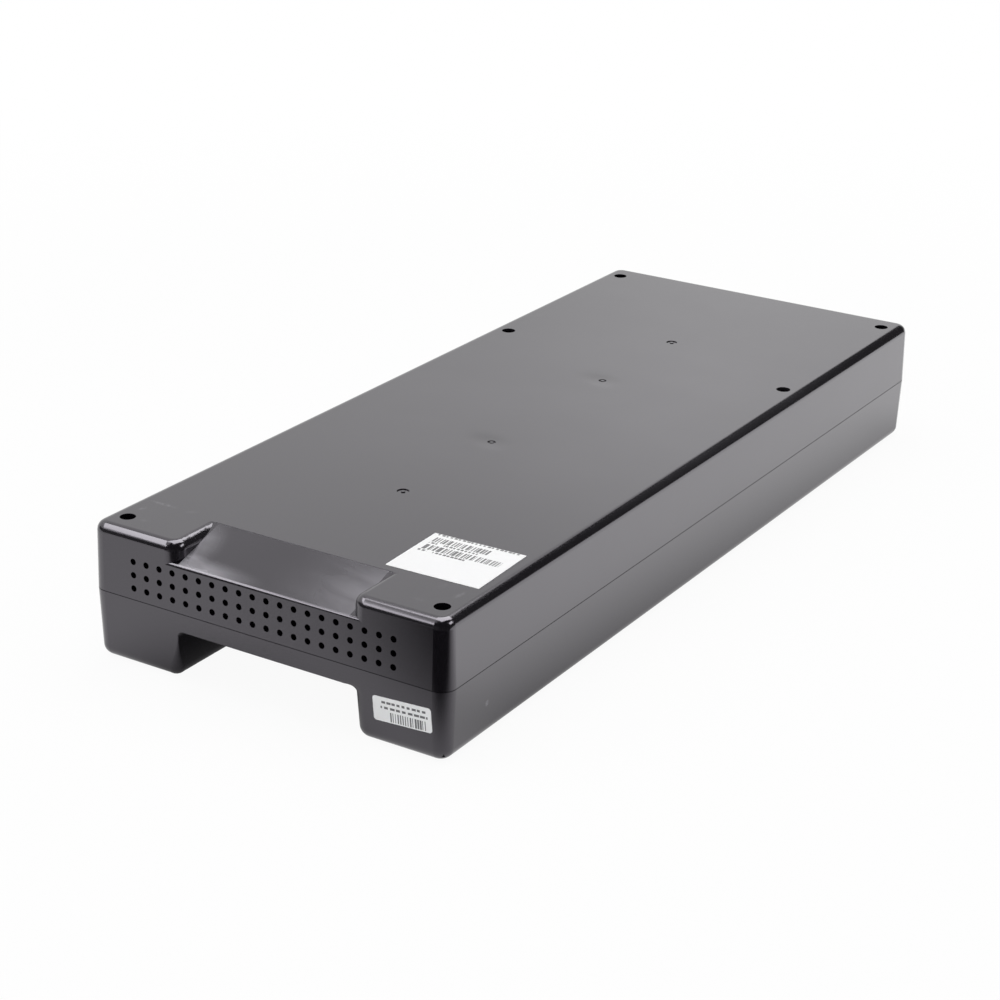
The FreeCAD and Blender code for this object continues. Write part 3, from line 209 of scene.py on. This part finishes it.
def sinkMarks(tree):
    # soft dents of the skin round the two inner gate marks
    dents = []
    for place in caseFinish["sinkPlaces"]:
        away = distanceFrom(tree, fromFront(place), scale=caseFinish["sinkShape"])
        dents.append(ramp(tree, away, 0.0, caseFinish["sinkRadius"], -1.0, 0.0))
    return addUp(tree, dents)


def slopeAxes(tree):
    # places across, along and up the case, seen from the middle of the slope's rear end
    rear = fromFront((0, caseFinish["slopeRear"], 0))
    axes = addNode(tree, "ShaderNodeSeparateXYZ", {0: placed(tree, rear)})
    return axes.outputs[0], axes.outputs[1], axes.outputs[2]


def crestLine(tree):
    # the fine dull line where the slope meets the top
    across, along = slopeAxes(tree)[:2]
    width = caseFinish["crestWidth"] * mm
    line = ramp(tree, doMath(tree, "ABSOLUTE", along), width / 2, width, 1.0, 0.0)
    reach = (caseFinish["slopeHalfWidth"] + caseFinish["crestEnd"]) * mm
    return doMath(tree, "MULTIPLY", line, doMath(tree, "COMPARE", across, 0.0, reach))


def patch(tree, middle, half, amount):
    away = distanceFrom(tree, fromFront(middle), scale=millimetres(half))
    return ramp(tree, away, caseFinish["patchCore"], 1.0, amount, 0.0)


def onSlope(tree):
    across, along, up = slopeAxes(tree)
    within = doMath(tree, "COMPARE", across, 0.0, caseFinish["slopeHalfWidth"] * mm)
    inFront = doMath(tree, "LESS_THAN", along, 0.0)
    plane = doMath(tree, "MULTIPLY", along, caseFinish["slopeRise"])
    near = doMath(tree, "COMPARE", up, plane, caseFinish["slopeReach"] * mm)
    return doMath(tree, "MULTIPLY", doMath(tree, "MULTIPLY", within, inFront), near)


def slopeSmearsAndSheen(tree):
    # wiped film in soft streaks, with a painted sheen over the slope's right part
    streaks = placed(tree, scale=caseFinish["streakSize"], turn=caseFinish["streakTurn"])
    streaks = noise(tree, streaks, 1.0, detail=3.0, roughness=0.55, distortion=0.5)
    film = addUp(tree, [patch(tree, *place) for place in caseFinish["slopeSmearAndSheenPatches"]])
    streaked = ramp(tree, streaks, *noiseRange, *caseFinish["streakShare"])
    return doMath(tree, "MULTIPLY", film, doMath(tree, "MULTIPLY", onSlope(tree), streaked))


def topDustAndSheen(tree):
    # a thin cloudy film, partly dust and partly painted sheen that lightens the middle and back of the top,
    # with painted shade and highlight by the sink marks
    clouds = placed(tree, centre=caseFinish["cloudPlace"])
    clouds = noise(tree, clouds, caseFinish["cloudScale"], distortion=0.3)
    clouded = ramp(tree, clouds, *noiseRange, *caseFinish["cloudShare"])
    layers = [doMath(tree, "MULTIPLY", patch(tree, *caseFinish["topSheenAndDustPatch"]), clouded)]
    # painted shade and highlight round each sink mark
    for x, y, z in caseFinish["sinkPlaces"]:
        for (right, back), half, amount in caseFinish["sinkShadeAndHighlight"]:
            middle = fromFront((x + right, y + back, z))
            away = distanceFrom(tree, middle, scale=millimetres(half))
            layers.append(ramp(tree, away, 0.0, 1.0, amount, 0.0))
    return addUp(tree, layers)


def scuffMarks(tree):
    breaks = noise(tree, placed(tree), caseFinish["scuffScale"], detail=3.0, roughness=0.6)
    marks = []
    for middle, length, width, turn, strength in caseFinish["scuffs"]:
        away = distanceFrom(tree, fromFront(middle), (0, 0, math.radians(turn)),
                            millimetres((length, width, width)))
        marks.append(ramp(tree, away, caseFinish["scuffCore"], 1.0, strength, 0.0))
    ragged = ramp(tree, breaks, *caseFinish["scuffBreaks"])
    return doMath(tree, "MULTIPLY", addUp(tree, marks), ragged)


def caseMaterial():
    material, tree = newMaterial("blackMoulding")
    plain = placed(tree)
    # the film holds real smears and scuffs, and painted sheen and shade on the top and slope
    film = doMath(tree, "MAXIMUM", doMath(tree, "ADD", slopeSmearsAndSheen(tree), topDustAndSheen(tree)), 0.0)
    film = doMath(tree, "MINIMUM", doMath(tree, "ADD", film, scuffMarks(tree)), 1.0)
    colour = mixColour(tree, film, caseFinish["colour"], caseFinish["filmAndSheenColour"])
    uneven = noise(tree, plain, caseFinish["roughnessScale"], detail=4.0, roughness=0.6)
    base = ramp(tree, uneven, *noiseRange, *caseFinish["roughness"])
    roughness = doMath(tree, "MULTIPLY_ADD", film, caseFinish["filmRoughness"], base)
    roughness = doMath(tree, "MULTIPLY_ADD", crestLine(tree), caseFinish["crestRoughness"], roughness)
    wave = noise(tree, plain, 1 / caseFinish["waveSize"], detail=1.0, roughness=0.4)
    grain = noise(tree, plain, 1 / caseFinish["grainSize"])
    normal = bump(tree, wave, caseFinish["waveDepth"])
    normal = bump(tree, sinkMarks(tree), caseFinish["sinkDepth"], normal)
    normal = bump(tree, grain, caseFinish["grainDepth"], normal)
    finishSurface(tree, {"Base Color": colour, "Roughness": roughness, "IOR": caseFinish["ior"],
                         "Specular Tint": caseFinish["glossTint"], "Normal": normal})
    return material


caseBlack = caseMaterial()
for name in ("upper_cover", "lower_tray"):
    dress(name, caseBlack)
print("case dressed")


# labels: white film with plain bars and dashes, all drawn in the label's own directions

topLabel = {
    "node": "top_label",
    "size": (50.8 * mm, 44.4 * mm),
    "lean": 0.0,
    "turn": math.radians(1.75),
    "film": (0.93, 0.93, 0.935, 1),
    "ink": (0.05, 0.05, 0.055, 1),
    # left, right, near and far sides of a field from the label's far left corner, in mm,
    # then the width of one bar or dash with its gap, and the least and most of it that is inked
    "fields": (
        (2.0, 48.0, 0.2, 1.7, 2.3, (0.40, 0.85)),
        (3.2, 34.4, 4.3, 9.7, 1.55, (0.20, 0.65)),
        (3.2, 34.4, 4.3, 9.7, 2.65, (0.15, 0.50)),
        (3.4, 8.0, 10.4, 12.0, 2.3, (0.50, 0.85)),
        (11.6, 30.4, 10.4, 12.0, 2.1, (0.50, 0.85)),
        (3.0, 45.8, 13.4, 19.1, 1.55, (0.20, 0.65)),
        (3.0, 45.8, 13.4, 19.1, 2.65, (0.15, 0.50)),
        (3.0, 8.0, 19.8, 21.5, 2.5, (0.50, 0.85)),
        (11.2, 29.4, 19.8, 21.5, 2.1, (0.50, 0.85)),
    ),
}

frontLabel = {
    "node": "front_label",
    "size": (32.2 * mm, 12.6 * mm),
    "lean": math.radians(92.25),  # upright, with the draft of the wall
    "turn": math.radians(3.4),
    "film": (0.86, 0.865, 0.875, 1),
    "ink": (0.05, 0.05, 0.055, 1),
    "fields": (
        (4.2, 29.4, 2.0, 3.2, 2.8, (0.55, 0.85)),
        (4.2, 30.2, 4.7, 5.9, 3.3, (0.60, 0.88)),
        (9.0, 29.4, 7.2, 12.0, 1.36, (0.25, 0.75)),
    ),
}

labelFinish = {
    "fibreScale": 900.0,
    "fibreRange": (0.2, 0.8),
    "fibreColour": (0.6, 0.6, 0.6, 1),
    "fibreShare": 0.06,
    "inkShare": 0.9,
    "roughness": (0.38, 0.5),
    "ior": 1.45,
    "rippleScale": 60.0,
    "rippleDepth": 0.03 * mm,
    "seed": 3,  # of the first field's pattern
    "seedStep": 37.0,
}


def printedField(tree, across, up, size, field, seed):
    left, right, near, far, pitch, (least, most) = field
    middleX = (left + right) / 2 * mm - size[0] / 2
    middleY = size[1] / 2 - (near + far) / 2 * mm
    inX = doMath(tree, "COMPARE", across, middleX, (right - left) / 2 * mm)
    inY = doMath(tree, "COMPARE", up, middleY, (far - near) / 2 * mm)
    steps = doMath(tree, "DIVIDE", across, pitch * mm)
    step = doMath(tree, "FLOOR", steps)
    seeded = doMath(tree, "ADD", step, seed * labelFinish["seedStep"])
    random = addNode(tree, "ShaderNodeTexWhiteNoise", {"W": seeded}, noise_dimensions="1D")
    width = ramp(tree, random.outputs["Value"], 0.0, 1.0, least, most, smooth=False)
    inked = doMath(tree, "LESS_THAN", doMath(tree, "SUBTRACT", steps, step), width)
    return doMath(tree, "MULTIPLY", doMath(tree, "MULTIPLY", inX, inY), inked)


def labelMaterial(label, centre, turn):
    material, tree = newMaterial(label["node"] + "Film")
    flat = placed(tree, centre, turn)
    axes = addNode(tree, "ShaderNodeSeparateXYZ", {0: flat})
    marks = [printedField(tree, axes.outputs[0], axes.outputs[1], label["size"], field, seed)
             for seed, field in enumerate(label["fields"], labelFinish["seed"])]
    ink = marks[0]
    for mark in marks[1:]:
        ink = doMath(tree, "MAXIMUM", ink, mark)
    fibre = noise(tree, flat, labelFinish["fibreScale"], detail=3.0, roughness=0.6)
    share = ramp(tree, fibre, *labelFinish["fibreRange"], 0.0, labelFinish["fibreShare"])
    colour = mixColour(tree, share, label["film"], labelFinish["fibreColour"])
    colour = mixColour(tree, doMath(tree, "MULTIPLY", ink, labelFinish["inkShare"]), colour, label["ink"])
    ripple = noise(tree, flat, labelFinish["rippleScale"], detail=1.0)
    finishSurface(tree, {
        "Base Color": colour, "IOR": labelFinish["ior"],
        "Roughness": ramp(tree, fibre, *labelFinish["fibreRange"], *labelFinish["roughness"]),
        "Normal": bump(tree, ripple, labelFinish["rippleDepth"])})
    return material


def middleOf(node):
    low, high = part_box(node)
    return (low + high) / 2


for label in (topLabel, frontLabel):
    lean = Matrix.Rotation(label["lean"], 3, "X") @ Matrix.Rotation(label["turn"], 3, "Z")
    dress(label["node"], labelMaterial(label, middleOf(label["node"]), lean.to_euler()))
print("labels dressed")


# plain finishes of the screws, the connector and what is inside

pads = ["%s_pad_%d" % (side, i) for side in ("base", "top") for i in range(1, 5)]

finishes = {
    "screwZinc": {"colour": (0.42, 0.42, 0.43, 1), "metal": 1.0, "rough": 0.35, "nodes": ["cover_screws"]},
    "connectorGrey": {"colour": (0.19, 0.19, 0.2, 1), "rough": 0.42, "nodes": ["output_connector"]},
    "contactSilver": {"colour": (0.78, 0.76, 0.72, 1), "metal": 1.0, "rough": 0.25,
                      "nodes": ["connector_contacts"]},
    "blockGrey": {"colour": (0.13, 0.13, 0.14, 1), "rough": 0.5,
                  "nodes": ["battery_1", "battery_2", "battery_3", "battery_4"]},
    "terminalTin": {"colour": (0.7, 0.68, 0.64, 1), "metal": 1.0, "rough": 0.3,
                    "nodes": ["battery_1_tabs", "battery_2_tabs", "battery_3_tabs", "battery_4_tabs"]},
    "sleeveVinyl": {"colour": (0.55, 0.04, 0.035, 1), "rough": 0.4, "nodes": ["terminal_sleeves"]},
    "redInsulation": {"colour": (0.5, 0.025, 0.025, 1), "rough": 0.4,
                      "nodes": ["positive_lead", "fuse_lead"]},
    "blackInsulation": {"colour": (0.025, 0.025, 0.025, 1), "rough": 0.42,
                        "nodes": ["negative_lead", "link_cable_1", "link_cable_2", "link_cable_3"]},
    "clipNylon": {"colour": (0.72, 0.7, 0.64, 1), "rough": 0.45, "nodes": ["cable_clips"]},
    "holderBlack": {"colour": (0.03, 0.03, 0.03, 1), "rough": 0.45, "nodes": ["fuse_holder"]},
    "fuseTint": {"colour": (0.07, 0.32, 0.09, 1), "rough": 0.2, "nodes": ["blade_fuse"]},
    "padFoam": {"colour": (0.06, 0.06, 0.06, 1), "rough": 0.9, "nodes": pads},
}


unevenness = {
    # how each plain finish varies: its tone, and its roughness as shares of the value above
    "toneScale": 180.0,
    "darkest": 0.78,
    "roughness": (0.85, 1.1),
    "grainScale": 1500.0,
    "grainDepth": 0.004 * mm,
}


def plainMaterial(name, finish):
    material, tree = newMaterial(name)
    plain = placed(tree)
    tone = noise(tree, plain, unevenness["toneScale"], detail=3.0, roughness=0.55)
    darker = tuple(channel * unevenness["darkest"] for channel in finish["colour"][:3]) + (1,)
    colour = mixColour(tree, ramp(tree, tone, *noiseRange), finish["colour"], darker)
    least, most = (finish["rough"] * share for share in unevenness["roughness"])
    grain = noise(tree, plain, unevenness["grainScale"])
    finishSurface(tree, {
        "Base Color": colour, "Metallic": finish.get("metal", 0.0),
        "Roughness": ramp(tree, tone, *noiseRange, least, most),
        "Normal": bump(tree, grain, unevenness["grainDepth"])})
    return material


for name, finish in finishes.items():
    material = plainMaterial(name, finish)
    for node in finish["nodes"]:
        dress(node, material)
print("fittings dressed")


# floor, light and camera

studio = {
    "floorSize": 14.0,
    "floorGap": 0.2 * mm,  # the floor lies this far under the case, so that the two don't flicker
    "floorColour": (0.93, 0.93, 0.93, 1),
    "floorGlow": (0.94, 1.0),  # share of plain white in the floor that is seen, close by and far off
    "shadowReach": (0.35, 1.1),  # the shadow fades out between these distances
    "glossGlow": (0.04, 1.0),  # how bright reflections show the floor, under the case and away from it, as a painted contact shadow
    "glossReach": 0.065,  # the second holds from this far off
    "footDepth": 0.012,  # how far in under the case the painted shadow starts to lift
    "worldLight": 0.38,
}


def gap(tree, corner):
    # distance on the floor from the case's outline
    apart = addNode(tree, "ShaderNodeVectorMath", {0: placed(tree)}, operation="ABSOLUTE")
    apart = addNode(tree, "ShaderNodeVectorMath", {0: apart.outputs[0], 1: corner}, operation="SUBTRACT")
    apart = addNode(tree, "ShaderNodeVectorMath", {0: apart.outputs[0], 1: (0, 0, 0)}, operation="MAXIMUM")
    return addNode(tree, "ShaderNodeVectorMath", {0: apart.outputs[0]}, operation="LENGTH").outputs["Value"]


def addFloor():
    bpy.ops.object.select_all(action="DESELECT")
    place = (0, 0, -studio["floorGap"])
    bpy.ops.mesh.primitive_plane_add(size=studio["floorSize"], location=place)
    floor = bpy.context.object
    floor.name = "studioFloor"
    material, tree = newMaterial("floorWhite")
    matt = addNode(tree, "ShaderNodeBsdfDiffuse", {"Color": studio["floorColour"]})
    path = addNode(tree, "ShaderNodeLightPath")
    glossy = path.outputs["Is Glossy Ray"]
    seen = doMath(tree, "MAXIMUM", path.outputs["Is Camera Ray"], path.outputs["Is Transmission Ray"])
    glow = ramp(tree, distanceFrom(tree, (0, 0, 0)), *studio["shadowReach"], *studio["floorGlow"])
    corner = (cadBox[1][0] - studio["footDepth"], cadBox[1][1] - studio["footDepth"], 0)
    # a painted contact shadow, seen only in reflections: the floor's glow darkens towards and under the
    # case
    gloss = ramp(tree, gap(tree, corner), 0.0, studio["glossReach"], *studio["glossGlow"], smooth=False)
    share = doMath(tree, "MAXIMUM", doMath(tree, "MULTIPLY", seen, glow), glossy)
    strength = doMath(tree, "MULTIPLY_ADD", glossy, doMath(tree, "SUBTRACT", gloss, 1.0), 1.0)
    white = addNode(tree, "ShaderNodeEmission", {"Color": (1, 1, 1, 1), "Strength": strength})
    mix = addNode(tree, "ShaderNodeMixShader", {0: share, 1: matt.outputs[0], 2: white.outputs[0]})
    # clear from below, where the underside is looked at
    below = addNode(tree, "ShaderNodeNewGeometry").outputs["Backfacing"]
    clear = addNode(tree, "ShaderNodeBsdfTransparent")
    whole = addNode(tree, "ShaderNodeMixShader", {0: below, 1: mix.outputs[0], 2: clear.outputs[0]})
    addNode(tree, "ShaderNodeOutputMaterial", {"Surface": whole.outputs[0]})
    floor.data.materials.append(material)


def addWorld():
    # plain white to the eye, in gloss and through glass, and a soft even light on everything else
    world = bpy.data.worlds.new("studioWorld")
    world.use_nodes = True
    bpy.context.scene.world = world
    tree = world.node_tree
    tree.nodes.clear()
    path = addNode(tree, "ShaderNodeLightPath")
    seen = doMath(tree, "MAXIMUM", path.outputs["Is Camera Ray"], path.outputs["Is Glossy Ray"])
    seen = doMath(tree, "MAXIMUM", seen, path.outputs["Is Transmission Ray"])
    lit = addNode(tree, "ShaderNodeBackground", {"Color": (1, 1, 1, 1), "Strength": studio["worldLight"]})
    plain = addNode(tree, "ShaderNodeBackground", {"Color": (1, 1, 1, 1), "Strength": 1.0})
    mix = addNode(tree, "ShaderNodeMixShader", {0: seen, 1: lit.outputs[0], 2: plain.outputs[0]})
    addNode(tree, "ShaderNodeOutputWorld", {"Surface": mix.outputs[0]})


panels = {
    # middle of each soft box, the point it faces, its size, its light and how bright gloss shows it
    "leftPanel": {"at": (-1.02, -1.105, 1.18), "aim": (0.0, -1.105, 1.18), "size": (1.99, 0.64),
                  "turn": -8.0, "light": 2.0, "shine": 5.6},
    "topPanel": {"at": (-0.05, 0.40, 1.57), "aim": (-0.05, 0.40, 0.0), "size": (1.25, 1.95), "turn": -15.0,
                 "light": 1.8, "shine": 5.6},
    "rightPanel": {"at": (1.30, 0.29, 0.98), "aim": (0.1, -0.25, 0.07), "size": (0.8, 0.5),
                   "light": 1.7, "shine": 5.2},
}

frontFill = {"at": (0.1, -2.6, 0.9), "aim": (0.0, -0.26, 0.04), "size": (1.8, 1.2), "light": 1.5}

tableMiddle = (0.271, -0.624)  # of the dark round on the floor off the case's front right corner


def lying(x, y, height):
    # a board on the floor, a little higher than those it covers
    return {"at": (x, y, height * mm), "aim": (x, y, 1.0)}


boards = {
    # boards that only gloss shows: the floor's bright sides, then the dark end of the table, a dark
    # round with its haze, a lit back and dark walls; a fade gives the side that is clear, or round,
    # and how wide it is
    "sideFloor": {**lying(1.961, 1.15, 0.3), "size": (4.0, 4.0), "turn": -3.8, "shine": 1.56,
                  "fade": (0, 0.17)},
    "leftFloor": {**lying(-2.03, -0.85, 0.4), "size": (4.0, 4.0), "turn": 180.0, "shine": 1.05,
                  "fade": (0, 0.1)},
    "tableEnd": {**lying(0.62, -1.84, 0.6), "size": (6.0, 3.0), "turn": -18.8, "shine": 0.02,
                 "fade": (1, 0.06)},
    "tableShade": {**lying(*tableMiddle, 0.9), "size": (0.824, 0.824), "shine": 0.02,
                   "fade": ("round", 0.08)},
    "tableHaze": {**lying(*tableMiddle, 0.7), "size": (0.94, 0.94), "shine": 0.9,
                  "fade": ("round", 0.07)},
    "underLamp": {"at": (-0.86, -1.5, 0.28), "aim": (0.0, -0.3, 0.1), "size": (3.2, 0.6), "shine": 0.13},
    "backGlow": {"at": (-1.1, 2.95, 1.0), "aim": (0.0, 0.0, 0.07), "size": (1.5, 1.5), "turn": 180.0,
                 "shine": 1.2, "fade": (0, 0.6)},
    "backRight": {"at": (0.93, 1.95, 1.05), "aim": (0.1, 0.0, 0.1), "size": (2.2, 2.6), "turn": -40.0,
                  "shine": 0.08},
    "rightWall": {"at": (2.0, -0.7, 1.6), "aim": (0.0, -0.7, 1.6), "size": (4.6, 3.16), "shine": 0.05},
    "frontWall": {"at": (-0.1, -3.0, 1.6), "aim": (-0.1, 0.0, 1.6), "size": (4.2, 3.16), "shine": 0.05},
    "ceiling": {"at": (0.7, -0.5, 2.6), "aim": (0.7, -0.5, 0.0), "size": (2.6, 5.0), "shine": 0.05},
}


def facing(place, aim):
    # at a place, its back to +Z and its long side level, turned to face a point
    back = (Vector(place) - Vector(aim)).normalized()
    across = Vector((0, 0, 1)).cross(back)
    across = across.normalized() if across.length > 0.001 else Vector((1, 0, 0))
    up = back.cross(across)
    turn = Matrix((across, up, back)).transposed().to_4x4()
    return Matrix.Translation(place) @ turn


def placeOf(thing):
    turn = Matrix.Rotation(math.radians(thing.get("turn", 0.0)), 4, "Z")
    return facing(thing["at"], thing["aim"]) @ turn


def addLamp(name, panel):
    data = bpy.data.lights.new(name, "AREA")
    data.shape = "RECTANGLE"
    data.size, data.size_y = panel["size"]
    data.energy = panel["light"] * math.pi * data.size * data.size_y  # its face is then this bright
    lamp = bpy.data.objects.new(name, data)
    bpy.context.scene.collection.objects.link(lamp)
    lamp.matrix_world = placeOf(panel)
    lamp.visible_glossy = False


def boardMaterial(name, board):
    material, tree = newMaterial(name)
    glow = {"Color": (1, 1, 1, 1), "Strength": board["shine"]}
    surface = addNode(tree, "ShaderNodeEmission", glow).outputs[0]
    if "fade" in board:
        # clear at its rim or one side, full beyond the width of the fade
        side, width = board["fade"]
        clear = addNode(tree, "ShaderNodeBsdfTransparent").outputs[0]
        if side == "round":
            share = ramp(tree, distanceFrom(tree, (0, 0, 0)), 0.5 - width / board["size"][0], 0.5, 1.0, 0.0)
        else:
            axes = addNode(tree, "ShaderNodeSeparateXYZ", {0: placed(tree)})
            share = ramp(tree, axes.outputs[side], -0.5, width / board["size"][side] - 0.5)
        surface = addNode(tree, "ShaderNodeMixShader", {0: share, 1: clear, 2: surface}).outputs[0]
    addNode(tree, "ShaderNodeOutputMaterial", {"Surface": surface})
    return material


def addBoard(name, board):
    bpy.ops.object.select_all(action="DESELECT")
    bpy.ops.mesh.primitive_plane_add(size=1.0)
    piece = bpy.context.object
    piece.name = name
    piece.matrix_world = placeOf(board) @ Matrix.Diagonal((*board["size"], 1, 1))
    piece.data.materials.append(boardMaterial(name + "Shine", board))
    piece.visible_camera = False
    piece.visible_diffuse = False
    piece.visible_shadow = False


def toward(azimuth, elevation):
    # direction from the case; azimuth 0 is its front, turning to its right
    a, e = math.radians(azimuth), math.radians(elevation)
    return Vector((math.sin(a) * math.cos(e), -math.cos(a) * math.cos(e), math.sin(e)))


viewPoint = {"aim": (0.0, -0.04966, 0.03537), "distance": 1.27242, "azimuth": 31.581, "elevation": 22.425,
             "roll": 1.166, "lens": 84.81}


def addCamera():
    data = bpy.data.cameras.new("viewCamera")
    data.lens = viewPoint["lens"]
    data.sensor_width = 36.0
    data.clip_start, data.clip_end = 0.05, 50.0
    camera = bpy.data.objects.new("viewCamera", data)
    bpy.context.scene.collection.objects.link(camera)
    direction = toward(viewPoint["azimuth"], viewPoint["elevation"])
    turn = (Matrix.Rotation(math.radians(viewPoint["azimuth"]), 4, "Z")
            @ Matrix.Rotation(math.radians(90 - viewPoint["elevation"]), 4, "X")
            @ Matrix.Rotation(math.radians(viewPoint["roll"]), 4, "Z"))
    place = Vector(viewPoint["aim"]) + direction * viewPoint["distance"]
    camera.matrix_world = Matrix.Translation(place) @ turn
    bpy.context.scene.camera = camera


addFloor()
addWorld()
for name, panel in panels.items():
    addLamp(name, panel)
    addBoard(name + "Board", panel)
addLamp("frontFill", frontFill)
for name, board in boards.items():
    addBoard(name, board)
addCamera()
bpy.context.scene.view_settings.view_transform = "Standard"
print("studio ready")
